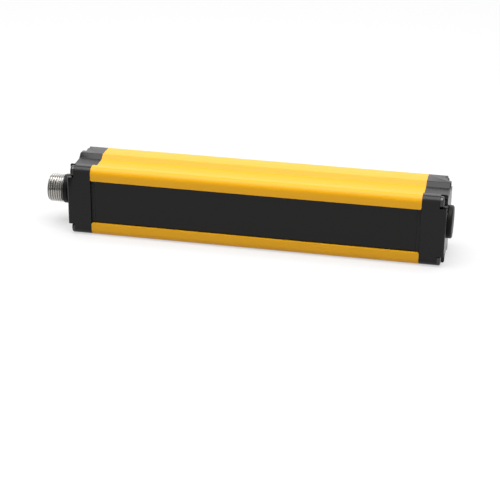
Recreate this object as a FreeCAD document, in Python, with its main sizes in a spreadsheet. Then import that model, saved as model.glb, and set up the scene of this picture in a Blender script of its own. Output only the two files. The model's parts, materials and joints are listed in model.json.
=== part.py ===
"""Safety light curtain transmitter bar, lying on its flank. Millimetres, +Z up.

X runs along the bar with the plug towards -X, the window faces -Y, and the origin is
the middle of the bar's box at the height of the surface that it lies on.

Pieces of the section (profile, window, seals, carrier, board) are drawn in planes
across the bar, where the sketch's x is the depth behind the front face and its y is the
height over the bar's middle plane. Pieces of an end are drawn in that end's own frame,
where x points outwards from the end of the profile. One end is the other turned half
round, so both end caps are the same moulding.
"""
import FreeCAD, Part
import os

from FreeCAD import Placement, Rotation, Vector
import Sketcher

PARTS = "parts"

# Driving dimensions: name, value, what it is. Depths count from the bar's front face,
# heights from its middle plane, and reaches from the end of the profile outwards.
SIZES = [
    ("profile_length", 138.0, "aluminium profile, end to end"),
    ("section_depth", 27.3, "bar, front to back"),
    ("half_height", 15.0, "middle plane to the outer flank"),
    ("lip_height", 5.6, "outer flank to the window gap"),
    ("lip_thickness", 1.2, "front lip over the window's edge"),
    ("bead_crest", 4.9, "depth where the front bead's flat crest ends"),
    ("waist_front", 7.4, "depth where the waist starts"),
    ("waist_depth", 2.2, "waist below the flank at its front"),
    ("waist_rise", 0.4, "how much the waist's floor rises to the back"),
    ("waist_rear", 16.6, "depth where the waist's floor ends"),
    ("step_rear", 18.6, "depth where the flank is full height again"),
    ("side_wall", 1.8, "wall between the waist and the cavity"),
    ("back_wall", 2.0, "wall behind the cavity"),
    ("front_round", 3.0, "round between front face and flank"),
    ("crest_round", 1.2, "round at the back of the bead"),
    ("waist_round", 1.6, "hollow rounds at the waist"),
    ("step_round", 1.0, "round on top of the step"),
    ("rear_round", 0.6, "round between flank and back"),
    ("lip_end_round", 0.7, "round at each end of the lips"),
    ("window_overlap", 0.8, "window groove behind the lip"),
    ("window_thickness", 2.0, "window strip"),
    ("window_clearance", 0.15, "window edge to its groove, each side"),
    ("window_end_length", 1.5, "rubber block at each end of the window"),
    ("seal_thickness", 1.0, "seal strip behind the window's edge"),
    ("ledge_thickness", 1.2, "ledge that backs the seal strip"),
    ("ledge_reach", 0.6, "ledge past the lip towards the middle"),
    ("rib_thickness", 0.8, "guide rib for the circuit board"),
    ("rib_height", 1.0, "guide rib from the cavity wall"),
    ("board_behind_axis", 2.75, "board's front face behind the bar's axis"),
    ("board_thickness", 1.6, "circuit board"),
    ("board_slot_clearance", 0.1, "board to each guide rib"),
    ("board_edge_clearance", 0.2, "board edge to the cavity wall"),
    ("board_start", 8.2, "board from the plug end of the profile"),
    ("board_finish", 8.2, "board from the far end of the profile"),
    ("screw_inset", 2.6, "cap screw axis from flank and front or back"),
    ("screw_radius", 1.5, "cap screw thread"),
    ("screw_bite", 6.0, "cap screw thread inside the profile"),
    ("port_clearance", 0.05, "screw port wider than the screw"),
    ("port_wall", 1.3, "wall round a rear screw port"),
    ("screw_hole_clearance", 0.2, "screw hole in the cap, all round"),
    ("screw_head_radius", 2.5, "pan head"),
    ("screw_head_height", 1.7, "pan head"),
    ("screw_head_bevel", 0.6, "bevel round the pan head"),
    ("screw_seat_clearance", 0.2, "screw seat round the head"),
    ("recess_half_width", 0.35, "arm of the cross recess, half its width"),
    ("recess_reach", 1.45, "arm of the cross recess from the axis"),
    ("recess_depth", 1.0, "cross recess"),
    ("cap_length", 10.0, "end cap from profile to end face"),
    ("screw_seat", 7.2, "reach of the screw seats"),
    ("rear_notch_floor", 8.1, "reach of the rear notches' floor"),
    ("notch_height", 4.6, "corner notch down from the flank"),
    ("front_notch_depth", 5.2, "corner notch back from the front face"),
    ("rear_notch_depth", 6.2, "corner notch forward from the back"),
    ("cap_edge_chamfer", 0.4, "edge of the cap's end face"),
    ("cut_margin", 1.0, "how far a cut runs past the outline"),
    ("tongue_length", 10.0, "locating tongue inside the profile"),
    ("tongue_front", 7.4, "depth of the tongue's front"),
    ("tongue_rear_gap", 0.9, "tongue's back before the guide rib"),
    ("tongue_thickness", 1.4, "locating tongue"),
    ("tongue_clearance", 0.15, "tongue to the cavity wall"),
    ("gasket_thickness", 0.8, "cap gasket and its recess"),
    ("gasket_width", 1.1, "cap gasket's band on the side walls"),
    ("gasket_front_width", 3.2, "cap gasket's band across the window"),
    ("gasket_rear_width", 1.2, "cap gasket's band on the back wall"),
    ("gasket_screw_gap", 1.5, "gasket's corner cut past the screw ports"),
    ("gasket_front", 1.8, "depth of the gasket's front edge"),
    ("gasket_rear_margin", 0.8, "gasket's rear edge to the back"),
    ("gasket_margin", 0.8, "gasket's side edge to the waist"),
    ("insert_radius", 2.75, "brass insert"),
    ("insert_thread_radius", 2.0, "M4 thread in the insert"),
    ("insert_length", 7.0, "brass insert"),
    ("insert_recess", 0.3, "brass insert below the cap's end face"),
    ("insert_groove", 0.35, "groove round the middle of the insert"),
    ("insert_groove_width", 1.4, "groove round the middle of the insert"),
    ("insert_pilot", 0.8, "hole past the insert"),
    ("insert_pilot_clearance", 0.25, "hole past the insert, wider than the thread"),
    ("insert_rear_inset", 4.9, "rear insert from the back"),
    ("insert_front_depth", 6.8, "depth of the front insert"),
    ("insert_below_screw", 5.05, "inserts nearer the middle plane than the screws"),
    ("neck_radius", 5.0, "plug and blank neck through the cap"),
    ("neck_clearance", 0.1, "neck to its hole"),
    ("neck_reach", 4.0, "neck inside the profile"),
    ("ring_thickness", 0.8, "flat sealing ring"),
    ("ring_clearance", 0.1, "sealing ring to the neck and to its seat's wall"),
    ("nut_flats", 7.0, "lock nut, half its width across flats"),
    ("nut_height", 2.8, "lock nut"),
    ("nut_clearance", 0.02, "lock nut's bore round the neck"),
    ("plug_radius", 6.0, "M12 thread of the plug"),
    ("stub_radius", 6.25, "plug stub"),
    ("stub_length", 5.0, "plug stub outside the cap"),
    ("stub_band", 0.5, "shallow groove round the stub"),
    ("stub_band_width", 1.2, "shallow groove round the stub"),
    ("thread_length", 6.8, "threaded sleeve outside the stub"),
    ("thread_lead", 0.5, "chamfer at the mouth of the thread"),
    ("sleeve_bore", 5.2, "bore of the threaded sleeve"),
    ("sleeve_spigot", 5.5, "sleeve where the stub holds it"),
    ("sleeve_seat", 2.0, "sleeve inside the stub"),
    ("pin_block_head", 1.2, "wide front of the pin block"),
    ("pin_block_depth", 3.0, "pin block's face below the stub's end"),
    ("pin_block_radius", 4.3, "pin block in the neck"),
    ("pin_block_tail", 1.0, "pin block past the neck"),
    ("key_half_width", 0.6, "coding key"),
    ("key_height", 0.7, "coding key"),
    ("key_length", 5.0, "coding key"),
    ("key_clearance", 0.1, "coding key to the sleeve's bore"),
    ("pin_radius", 0.5, "contact pin"),
    ("pin_circle", 3.53, "contact pins from the plug's axis"),
    ("pin_recess", 2.0, "pin tips below the plug's mouth"),
    ("pin_tail", 1.2, "pin tails behind the plug board"),
    ("pin_bevel", 0.2, "bevelled pin tips"),
    ("plug_board_half_height", 8.0, "plug board above the middle"),
    ("plug_board_front", 6.4, "depth of the plug board's front edge"),
    ("plug_board_thickness", 1.2, "plug board"),
    ("header_pitch", 2.54, "header pins, one to the next"),
    ("header_section", 2.4, "header strip"),
    ("header_pin_half", 0.3, "square header pin"),
    ("header_foot", 1.2, "header pins past the strip"),
    ("header_hole", 0.45, "radius of the header pins' holes"),
    ("blank_radius", 6.85, "blanking plug's head"),
    ("blank_height", 2.1, "blanking plug's head"),
    ("blank_edge", 0.5, "chamfer on the blanking plug"),
    ("beam_pitch", 20.0, "one beam to the next"),
    ("carrier_margin", 12.3, "carrier's end from the profile's end"),
    ("carrier_front_gap", 0.2, "carrier behind the ledges"),
    ("carrier_rear_gap", 0.2, "carrier before the guide ribs"),
    ("carrier_edge_clearance", 0.15, "carrier to the cavity wall"),
    ("mask_half", 8.9, "aperture mask, half its height"),
    ("mask_thickness", 0.5, "aperture mask"),
    ("mask_aperture", 4.4, "radius of a beam's hole in the mask"),
    ("mask_margin", 0.8, "mask's end from the carrier's end"),
    ("lens_half", 8.0, "lens bar, half its height"),
    ("lens_plate", 1.5, "lens bar's plate"),
    ("lens_radius", 5.0, "lens dome, seen from the front"),
    ("lens_rise", 1.2, "height of a lens dome"),
    ("lens_margin", 0.3, "lens bar's end from the mask's end"),
    ("tray_clearance", 0.1, "mask and lens bar in their trays"),
    ("cone_mouth", 4.6, "radius of the light cone at the lens"),
    ("cone_depth", 3.2, "light cone, front to back"),
    ("emitter_bore", 2.2, "radius of the emitter's bore"),
    ("emitter_radius", 1.9, "emitter's dome"),
    ("emitter_length", 4.0, "emitter from the board"),
    ("emitter_dome_height", 1.1, "emitter's domed top, bevelled"),
    ("emitter_crown", 0.9, "flat of the emitter's top, its radius"),
    ("emitter_base", 2.1, "emitter's square base, half its width"),
    ("emitter_base_height", 0.9, "emitter's base"),
    ("pad_clearance", 0.1, "rubber pad between tongue and carrier"),
    ("processor_half", 4.0, "processor, half its width"),
    ("processor_margin", 1.8, "processor from the board's upper edge"),
    ("chip_height", 1.2, "packages on the back of the board"),
    ("driver_half_length", 2.5, "beam driver package"),
    ("driver_half_width", 2.0, "beam driver package"),
    ("driver_offset", 5.5, "beam drivers above the middle"),
    ("capacitor_radius", 2.6, "smoothing capacitor"),
    ("capacitor_length", 11.0, "smoothing capacitor"),
    ("capacitor_pitch", 14.0, "smoothing capacitors, one to the next"),
    ("capacitor_count", 2, "smoothing capacitors"),
    ("capacitor_start", 26.0, "first smoothing capacitor from the plug end"),
    ("capacitor_offset", 5.5, "smoothing capacitors above the middle"),
    ("indicator_pitch", 5.0, "status lamps, one to the next"),
    ("indicator_half", 0.8, "status lamp, half its width"),
    ("indicator_height", 0.7, "status lamp"),
    ("indicator_inset", 2.6, "status lamps from the board's far end"),
    ("guide_radius", 1.1, "light guide's rod"),
    ("guide_bar", 1.4, "bar that joins the rods"),
    ("guide_gap", 0.2, "light guide to the lamps and ledge plane"),
]

# Sizes that follow from the ones above.
DERIVED = [
    ("window_half", "half_height - lip_height"),
    ("groove_half", "window_half + window_overlap"),
    ("groove_rear", "lip_thickness + window_thickness + seal_thickness"),
    ("window_edge", "groove_half - window_clearance"),
    ("window_rear", "lip_thickness + window_thickness"),
    ("seal_front", "window_rear"),
    ("ledge_half", "window_half - ledge_reach"),
    ("ledge_rear", "groove_rear + ledge_thickness"),
    ("waist_half", "half_height - waist_depth"),
    ("waist_rear_half", "waist_half + waist_rise"),
    ("cavity_half", "waist_half - side_wall"),
    ("cavity_rear", "section_depth - back_wall"),
    ("rib_half", "cavity_half - rib_height"),
    ("axis_depth", "section_depth / 2"),
    ("board_front", "axis_depth + board_behind_axis"),
    ("slot_front", "board_front - board_slot_clearance"),
    ("slot_rear", "board_front + board_thickness + board_slot_clearance"),
    ("rib_front", "slot_front - rib_thickness"),
    ("rib_rear", "slot_rear + rib_thickness"),
    ("screw_half", "half_height - screw_inset"),
    ("screw_rear_depth", "section_depth - screw_inset"),
    ("port_radius", "screw_radius + port_clearance"),
    ("port_land", "port_radius + port_wall"),
    ("port_land_front", "screw_rear_depth - port_land"),
    ("port_land_half", "screw_half - port_land"),
    ("port_land_side", "port_land_front - (cavity_half - port_land_half) / 2"),
    ("screw_hole_radius", "screw_radius + screw_hole_clearance"),
    ("screw_seat_radius", "screw_head_radius + screw_seat_clearance"),
    ("notch_half", "half_height - notch_height"),
    ("rear_notch_front", "section_depth - rear_notch_depth"),
    ("screw_length", "screw_seat + screw_bite"),
    ("screw_head_top", "screw_seat + screw_head_height"),
    ("beyond_flank", "half_height + cut_margin"),
    ("beyond_back", "section_depth + cut_margin"),
    ("tongue_outer", "cavity_half - tongue_clearance"),
    ("tongue_inner", "tongue_outer - tongue_thickness"),
    ("tongue_rear", "rib_front - tongue_rear_gap"),
    ("gasket_half", "waist_half - gasket_margin"),
    ("gasket_rear", "section_depth - gasket_rear_margin"),
    ("gasket_inner_half", "gasket_half - gasket_width"),
    ("gasket_band_half", "screw_half - port_radius - gasket_screw_gap"),
    ("gasket_band_inner", "gasket_band_half - gasket_width"),
    ("gasket_corner_front", "screw_inset + port_radius + gasket_screw_gap"),
    ("gasket_corner_rear", "screw_rear_depth - port_radius - gasket_screw_gap"),
    ("gasket_inner_corner_front", "gasket_corner_front + gasket_width"),
    ("gasket_inner_corner_rear", "gasket_corner_rear - gasket_width"),
    ("gasket_inner_front", "gasket_front + gasket_front_width"),
    ("gasket_inner_rear", "gasket_rear - gasket_rear_width"),
    ("insert_mouth", "cap_length - insert_recess"),
    ("insert_seat", "insert_mouth - insert_length"),
    ("insert_offset", "screw_half - insert_below_screw"),
    ("insert_rear_depth", "section_depth - insert_rear_inset"),
    ("insert_pilot_radius", "insert_thread_radius + insert_pilot_clearance"),
    ("insert_pilot_floor", "insert_seat - insert_pilot"),
    ("insert_groove_start", "insert_seat + (insert_length - insert_groove_width) / 2"),
    ("insert_groove_end", "insert_groove_start + insert_groove_width"),
    ("insert_groove_floor", "insert_radius - insert_groove"),
    ("neck_hole", "neck_radius + neck_clearance"),
    ("ring_inner", "neck_radius + ring_clearance"),
    ("ring_outer", "stub_radius"),
    ("ring_seat_radius", "ring_outer + ring_clearance"),
    ("ring_seat_floor", "cap_length - ring_thickness"),
    ("nut_bore", "neck_radius + nut_clearance"),
    ("nut_corner", "nut_flats * 2 / sqrt(3)"),
    ("nut_side", "nut_flats / sqrt(3)"),
    ("stub_end", "cap_length + stub_length"),
    ("plug_mouth", "stub_end + thread_length"),
    ("thread_crest_end", "plug_mouth - thread_lead"),
    ("thread_mouth_radius", "plug_radius - thread_lead"),
    ("stub_band_start", "cap_length + (stub_length - stub_band_width) / 2"),
    ("stub_band_end", "stub_band_start + stub_band_width"),
    ("stub_band_radius", "stub_radius - stub_band"),
    ("sleeve_floor", "stub_end - sleeve_seat"),
    ("pin_block_face", "stub_end - pin_block_depth"),
    ("pin_block_shoulder", "pin_block_face - pin_block_head"),
    ("pin_block_rear", "neck_reach + pin_block_tail"),
    ("pin_tip", "plug_mouth - pin_recess"),
    ("key_outer", "sleeve_bore - key_clearance"),
    ("key_inner", "key_outer - key_height"),
    ("pin_depth_front", "axis_depth - pin_circle"),
    ("pin_depth_rear", "axis_depth + pin_circle"),
    ("plug_board_rear", "pin_block_rear + plug_board_thickness"),
    ("pin_end", "plug_board_rear + pin_tail"),
    ("pin_length", "pin_tip + pin_end"),
    ("plug_board_back", "section_depth - plug_board_front"),
    ("blank_face", "cap_length + blank_height"),
    ("blank_edge_start", "blank_face - blank_edge"),
    ("blank_face_radius", "blank_radius - blank_edge"),
    ("bar_length", "profile_length + 2 * cap_length + stub_length + thread_length + blank_height"),
    ("profile_left", "plug_mouth - bar_length / 2"),
    ("profile_right", "profile_left + profile_length"),
    ("front_face", "-section_depth / 2"),
    ("window_length", "profile_length - 2 * window_end_length"),
    ("board_length", "profile_length - board_start - board_finish"),
    ("board_half", "cavity_half - board_edge_clearance"),
    ("board_rear", "board_front + board_thickness"),
    ("window_far", "profile_length - window_end_length"),
    ("carrier_left", "profile_left + carrier_margin"),
    ("carrier_length", "profile_length - 2 * carrier_margin"),
    ("carrier_half", "cavity_half - carrier_edge_clearance"),
    ("carrier_front", "ledge_rear + carrier_front_gap"),
    ("carrier_rear", "rib_front - carrier_rear_gap"),
    ("mask_tray_half", "mask_half + tray_clearance"),
    ("mask_floor", "carrier_front + mask_thickness"),
    ("mask_length", "carrier_length - 2 * mask_margin"),
    ("mask_tray_start", "mask_margin - tray_clearance"),
    ("mask_tray_end", "carrier_length - mask_tray_start"),
    ("lens_front", "mask_floor + lens_rise"),
    ("lens_floor", "lens_front + lens_plate"),
    ("lens_tray_half", "lens_half + tray_clearance"),
    ("lens_start", "mask_margin + lens_margin"),
    ("lens_length", "carrier_length - 2 * lens_start"),
    ("lens_tray_start", "lens_start - tray_clearance"),
    ("lens_tray_end", "carrier_length - lens_tray_start"),
    ("lens_ball", "(lens_radius ^ 2 + lens_rise ^ 2) / (2 * lens_rise)"),
    ("cone_floor", "lens_floor + cone_depth"),
    ("beam_room", "lens_length - 2 * lens_radius"),
    ("beam_count", "floor(beam_room / beam_pitch) + 1"),
    ("beam_span", "beam_pitch * (beam_count - 1)"),
    ("first_beam", "(profile_length - beam_span) / 2"),
    ("first_bore", "first_beam - carrier_margin"),
    ("bore_end", "carrier_rear + cut_margin"),
    ("emitter_front", "board_front - emitter_length"),
    ("emitter_shoulder", "board_front - emitter_base_height"),
    ("emitter_rim", "emitter_front + emitter_dome_height"),
    ("processor_place", "profile_length / 2"),
    ("processor_offset", "board_half - processor_margin - processor_half"),
    ("capacitor_depth", "board_rear + capacitor_radius"),
    ("pad_far", "carrier_margin - pad_clearance"),
    ("pad_length", "carrier_margin - tongue_length - 2 * pad_clearance"),
    ("header_half", "2 * header_pitch"),
    ("header_inner", "header_pitch / 2"),
    ("header_outer", "header_pitch * 1.5"),
    ("header_front", "board_front - header_section"),
    ("header_pin_depth", "board_front - header_section / 2"),
    ("header_pin_end", "board_start + header_section + header_foot"),
    ("header_pin_length", "header_pin_end - pin_block_rear"),
    ("header_foot_place", "header_pin_end - header_pin_half"),
    ("header_foot_length", "board_front - header_pin_depth"),
    ("indicator_place", "profile_length - board_finish - indicator_inset"),
    ("indicator_front", "board_front - indicator_height"),
    ("guide_rear", "indicator_front - guide_gap"),
    ("guide_bar_front", "guide_rear - guide_bar"),
    ("guide_front", "carrier_front + guide_gap"),
    ("guide_half", "indicator_pitch + guide_radius"),
    ("guide_rod_length", "guide_bar_front - guide_front"),
]

doc = FreeCAD.newDocument("LightCurtain")
sheet = doc.addObject("Spreadsheet::Sheet", "Sizes")


def fill_sheet():
    """Write the driving sizes as plain numbers, then the sizes worked out from them."""
    row = 0
    for name, number, meaning in SIZES:
        row += 1
        sheet.set("A%d" % row, name)
        sheet.set("B%d" % row, str(number))
        sheet.set("C%d" % row, meaning)
        sheet.setAlias("B%d" % row, name)
    doc.recompute()
    for name, formula in DERIVED:
        row += 1
        sheet.set("A%d" % row, name)
        sheet.set("B%d" % row, "=" + formula)
        sheet.setAlias("B%d" % row, name)
        doc.recompute()


def value(term):
    """The number behind a term: an alias, an alias with a minus sign, or 0."""
    if term == "0":
        return 0.0
    if term.startswith("-"):
        return -float(getattr(sheet, term[1:]))
    return float(getattr(sheet, term))


def bound(term):
    """The expression that binds a property to a term."""
    if term == "0":
        return "0"
    if term.startswith("-"):
        return "-Sizes." + term[1:]
    return "Sizes." + term


def mirrored(corners):
    """The same corners below the middle plane, in reverse order."""
    below = []
    for depth, height in reversed(corners):
        below.append((depth, height[1:] if height.startswith("-") else "-" + height))
    return below


# ---------------------------------------------------------------- modelling helpers

def new_body(name):
    """A body whose name and label are the node's name; it may hold separate solids."""
    body = doc.addObject("PartDesign::Body", name)
    body.Label = name
    body.AllowCompound = True
    return body


def new_sketch(body, name, role, offset, shift, turn):
    """A sketch on an origin plane: offset along the normal, shifted and turned in the plane."""
    plane = [part for part in body.Origin.OriginFeatures if part.Role == role][0]
    sketch = body.newObject("Sketcher::SketchObject", body.Name + "_" + name)
    sketch.AttachmentSupport = [(plane, "")]
    sketch.MapMode = "FlatFace"
    sketch.AttachmentOffset = Placement(Vector(), Rotation(Vector(0, 0, 1), turn))
    if offset:
        sketch.setExpression("AttachmentOffset.Base.z", bound(offset))
    if shift:
        sketch.setExpression("AttachmentOffset.Base.x", bound(shift[0]))
        sketch.setExpression("AttachmentOffset.Base.y", bound(shift[1]))
    return sketch


def pin_point(sketch, edge, point, corner):
    """Fix a point of the sketch by its two coordinates."""
    for kind, term in zip(("DistanceX", "DistanceY"), corner):
        index = sketch.addConstraint(Sketcher.Constraint(kind, -1, 1, edge, point, value(term)))
        sketch.setExpression("Constraints[%d]" % index, bound(term))


def outline(sketch, corners, arc=None):
    """A closed outline through the corners; arc is (side, radius) for one bulging side."""
    points = [Vector(value(first), value(second), 0) for first, second in corners]
    first_edge = sketch.GeometryCount
    count = len(points)
    ends = []
    for i in range(count):
        here, there = points[i], points[(i + 1) % count]
        if arc and arc[0] == i:
            radius = value(arc[1])
            chord = there - here
            rise = radius - (radius ** 2 - (chord.Length / 2) ** 2) ** 0.5
            outwards = Vector(chord.y, -chord.x, 0).normalize()
            side = Part.ArcOfCircle(here, (here + there) / 2 + outwards * rise, there)
        else:
            side = Part.LineSegment(here, there)
        sketch.addGeometry(side, False)
        starts_here = sketch.Geometry[first_edge + i].StartPoint.isEqual(here, 1e-6)
        ends.append((1, 2) if starts_here else (2, 1))
    for i in range(count):
        after = (i + 1) % count
        sketch.addConstraint(Sketcher.Constraint(
            "Coincident", first_edge + i, ends[i][1], first_edge + after, ends[after][0]))
    for i in range(count):
        pin_point(sketch, first_edge + i, ends[i][0], corners[i])
    if arc:
        index = sketch.addConstraint(Sketcher.Constraint("Radius", first_edge + arc[0], value(arc[1])))
        sketch.setExpression("Constraints[%d]" % index, bound(arc[1]))


def circle(sketch, centre, radius):
    """A circle with its centre and radius bound."""
    middle = Vector(value(centre[0]), value(centre[1]), 0)
    edge = sketch.addGeometry(Part.Circle(middle, Vector(0, 0, 1), value(radius)), False)
    pin_point(sketch, edge, 3, centre)
    index = sketch.addConstraint(Sketcher.Constraint("Radius", edge, value(radius)))
    sketch.setExpression("Constraints[%d]" % index, bound(radius))


def drawing(body, name, outlines=(), circles=(), role="YZ_Plane", offset=None, shift=None,
            turn=0.0, arc=None):
    """A sketch made of closed outlines and circles."""
    sketch = new_sketch(body, name, role, offset, shift, turn)
    for corners in outlines:
        outline(sketch, corners, arc)
    for centre, radius in circles:
        circle(sketch, centre, radius)
    return sketch


def pad(body, sketch, length, towards_start=False):
    """Raise the sketch by a length, along its normal or against it."""
    feature = body.newObject("PartDesign::Pad", sketch.Name + "_pad")
    feature.Profile = sketch
    feature.setExpression("Length", bound(length))
    feature.Reversed = towards_start
    sketch.Visibility = False
    doc.recompute()
    return feature


def cut_guard(body, feature, before):
    """A cut has to take material away."""
    doc.recompute()
    body.Tip = feature
    doc.recompute()
    if not feature.Shape.Volume < before - 1e-6:
        raise RuntimeError(feature.Name + " cuts nothing")
    return feature


def pocket(body, sketch, length=None, forwards=True):
    """Cut the sketch right through, or to a length, along its normal or against it."""
    before = body.Shape.Volume
    feature = body.newObject("PartDesign::Pocket", sketch.Name + "_pocket")
    feature.Profile = sketch
    feature.Reversed = forwards
    if length:
        feature.Type = 0
        feature.setExpression("Length", bound(length))
    else:
        feature.Type = 1
    sketch.Visibility = False
    return cut_guard(body, feature, before)


def revolve(body, sketch, axis="H_Axis", cut=False):
    """Turn the sketch about one of its axes, as material or as a cut."""
    before = body.Shape.Volume if cut else 0.0
    kind = "PartDesign::Groove" if cut else "PartDesign::Revolution"
    feature = body.newObject(kind, sketch.Name + "_turned")
    feature.Profile = sketch
    feature.ReferenceAxis = (sketch, [axis])
    feature.Angle = 360.0
    sketch.Visibility = False
    if cut:
        return cut_guard(body, feature, before)
    doc.recompute()
    return feature


def in_a_row(body, feature, pitch, count):
    """Repeat a feature along the bar."""
    row = body.newObject("PartDesign::LinearPattern", feature.Name + "_row")
    row.Originals = [feature]
    axis = [part for part in body.Origin.OriginFeatures if part.Role == "X_Axis"][0]
    row.Direction = (axis, [""])
    row.Mode = "Spacing"
    row.setExpression("Offset", bound(pitch))
    row.setExpression("Occurrences", bound(count))
    doc.recompute()
    body.Tip = row
    doc.recompute()
    return row


def edges_where(shape, test):
    """Names of the edges whose middle and direction pass the test."""
    names = []
    for number, edge in enumerate(shape.Edges, 1):
        middle = edge.valueAt((edge.FirstParameter + edge.LastParameter) / 2)
        if test(edge, middle):
            names.append("Edge%d" % number)
    return names


def dress(body, kind, name, amount, test):
    """Round or chamfer the edges of the body's tip that pass the test."""
    base = body.Tip
    names = edges_where(base.Shape, test)
    if not names:
        raise RuntimeError("%s: no edge to dress for %s" % (body.Name, name))
    feature = body.newObject("PartDesign::" + kind, body.Name + "_" + name)
    feature.Base = (base, names)
    feature.setExpression("Radius" if kind == "Fillet" else "Size", bound(amount))
    doc.recompute()
    return feature


def near(number, term):
    """Whether a coordinate is the one that a term gives."""
    return abs(number - value(term)) < 1e-4


def along_bar_at(corners):
    """A test for edges along the bar through any of the corners, above or below."""
    def test(edge, middle):
        if edge.Curve.TypeId != "Part::GeomLine" or abs(edge.tangentAt(edge.FirstParameter).x) < 0.99:
            return False
        for depth, height in corners:
            if near(middle.y, depth) and near(abs(middle.z), height):
                return True
        return False
    return test


def at_section(obj, start="profile_left"):
    """Place a piece drawn across the bar, from a position along the bar."""
    obj.setExpression("Placement.Base.x", bound(start))
    obj.setExpression("Placement.Base.y", "Sizes.front_face")
    obj.setExpression("Placement.Base.z", "Sizes.half_height")


def at_end(obj, end, depth="0", height="0"):
    """Place a piece drawn in an end's frame; the left end is the right one turned half round."""
    if end == "left":
        obj.Placement = Placement(Vector(), Rotation(Vector(0, 1, 0), 180))
        obj.setExpression("Placement.Base.x", "Sizes.profile_left")
        obj.setExpression("Placement.Base.z", "Sizes.half_height - " + bound(height))
    else:
        obj.setExpression("Placement.Base.x", "Sizes.profile_right")
        obj.setExpression("Placement.Base.z", "Sizes.half_height + " + bound(height))
    obj.setExpression("Placement.Base.y", "Sizes.front_face + " + bound(depth))


# ---------------------------------------------------------------- the section

OUTER_CORNERS = [
    ("0", "half_height"),
    ("bead_crest", "half_height"),
    ("waist_front", "waist_half"),
    ("waist_rear", "waist_rear_half"),
    ("step_rear", "half_height"),
    ("section_depth", "half_height"),
]
OUTER_ROUNDS = [
    ("front_round", [("0", "half_height")]),
    ("crest_round", [("bead_crest", "half_height")]),
    ("waist_round", [("waist_front", "waist_half"), ("waist_rear", "waist_rear_half")]),
    ("step_round", [("step_rear", "half_height")]),
    ("rear_round", [("section_depth", "half_height")]),
]
INNER_CORNERS = [
    ("cavity_rear", "port_land_half"),
    ("port_land_front", "port_land_half"),
    ("port_land_side", "cavity_half"),
    ("rib_rear", "cavity_half"),
    ("rib_rear", "rib_half"),
    ("slot_rear", "rib_half"),
    ("slot_rear", "cavity_half"),
    ("slot_front", "cavity_half"),
    ("slot_front", "rib_half"),
    ("rib_front", "rib_half"),
    ("rib_front", "cavity_half"),
    ("ledge_rear", "cavity_half"),
    ("ledge_rear", "ledge_half"),
    ("groove_rear", "ledge_half"),
    ("groove_rear", "groove_half"),
    ("lip_thickness", "groove_half"),
    ("lip_thickness", "window_half"),
    ("0", "window_half"),
]
SCREW_AXES = [
    ("screw_inset", "screw_half"),
    ("screw_inset", "-screw_half"),
    ("screw_rear_depth", "screw_half"),
    ("screw_rear_depth", "-screw_half"),
]


def round_flanks(body):
    """The rounds that the profile and the caps share, so that they stay flush."""
    for amount, corners in OUTER_ROUNDS:
        dress(body, "Fillet", amount, amount, along_bar_at(corners))


def rectangle(x1, x2, y1, y2):
    """The four corners of a rectangle."""
    return [(x1, y1), (x2, y1), (x2, y2), (x1, y2)]


def make_profile():
    """Extruded housing: one C-shaped section with window grooves, ribs and screw ports."""
    body = new_body("housing_profile")
    wall = OUTER_CORNERS + mirrored(OUTER_CORNERS) + mirrored(INNER_CORNERS) + INNER_CORNERS
    ports = [(axis, "port_radius") for axis in SCREW_AXES]
    pad(body, drawing(body, "section", [wall], ports), "profile_length")
    round_flanks(body)
    dress(body, "Fillet", "lip_ends", "lip_end_round", is_lip_end)
    at_section(body)


def is_lip_end(edge, middle):
    """The short edges where a lip's inner edge meets the end of the profile."""
    at_ends = near(middle.x, "0") or near(middle.x, "profile_length")
    across = abs(edge.tangentAt(edge.FirstParameter).y) > 0.99
    return at_ends and across and near(abs(middle.z), "window_half") and middle.y < value("lip_thickness")


def make_window_parts():
    """Window strip in its grooves, its two seal strips and the rubber blocks at its ends."""
    strips = [
        ("front_window", ("lip_thickness", "window_rear", "-window_edge", "window_edge")),
        ("window_seal_upper", ("seal_front", "groove_rear", "ledge_half", "window_edge")),
        ("window_seal_lower", ("seal_front", "groove_rear", "-window_edge", "-ledge_half")),
    ]
    for name, sides in strips:
        body = new_body(name)
        pad(body, drawing(body, "section", [rectangle(*sides)], offset="window_end_length"),
            "window_length")
        at_section(body)
    sides = ("lip_thickness", "groove_rear", "-window_edge", "window_edge")
    for name, start in (("window_end_left", None), ("window_end_right", "window_far")):
        body = new_body(name)
        pad(body, drawing(body, "section", [rectangle(*sides)], offset=start),
            "window_end_length")
        at_section(body)


# ---------------------------------------------------------------- the ends

GASKET_OUTER = [
    ("gasket_front", "gasket_band_half"),
    ("gasket_corner_front", "gasket_half"),
    ("gasket_corner_rear", "gasket_half"),
    ("gasket_rear", "gasket_band_half"),
]
GASKET_INNER = [
    ("gasket_inner_front", "gasket_band_inner"),
    ("gasket_inner_corner_front", "gasket_inner_half"),
    ("gasket_inner_corner_rear", "gasket_inner_half"),
    ("gasket_inner_rear", "gasket_band_inner"),
]
INSERTS = [
    ("rear", "insert_rear_depth", "-insert_offset"),
    ("front", "insert_front_depth", "insert_offset"),
]


def both_flanks(*sides):
    """A rectangle above the middle plane and its mirror image below."""
    above = rectangle(*sides)
    return [above, mirrored(above)]


def gasket_ring():
    """Outer and inner outline of the cap gasket."""
    return [corners + mirrored(corners) for corners in (GASKET_OUTER, GASKET_INNER)]


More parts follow.
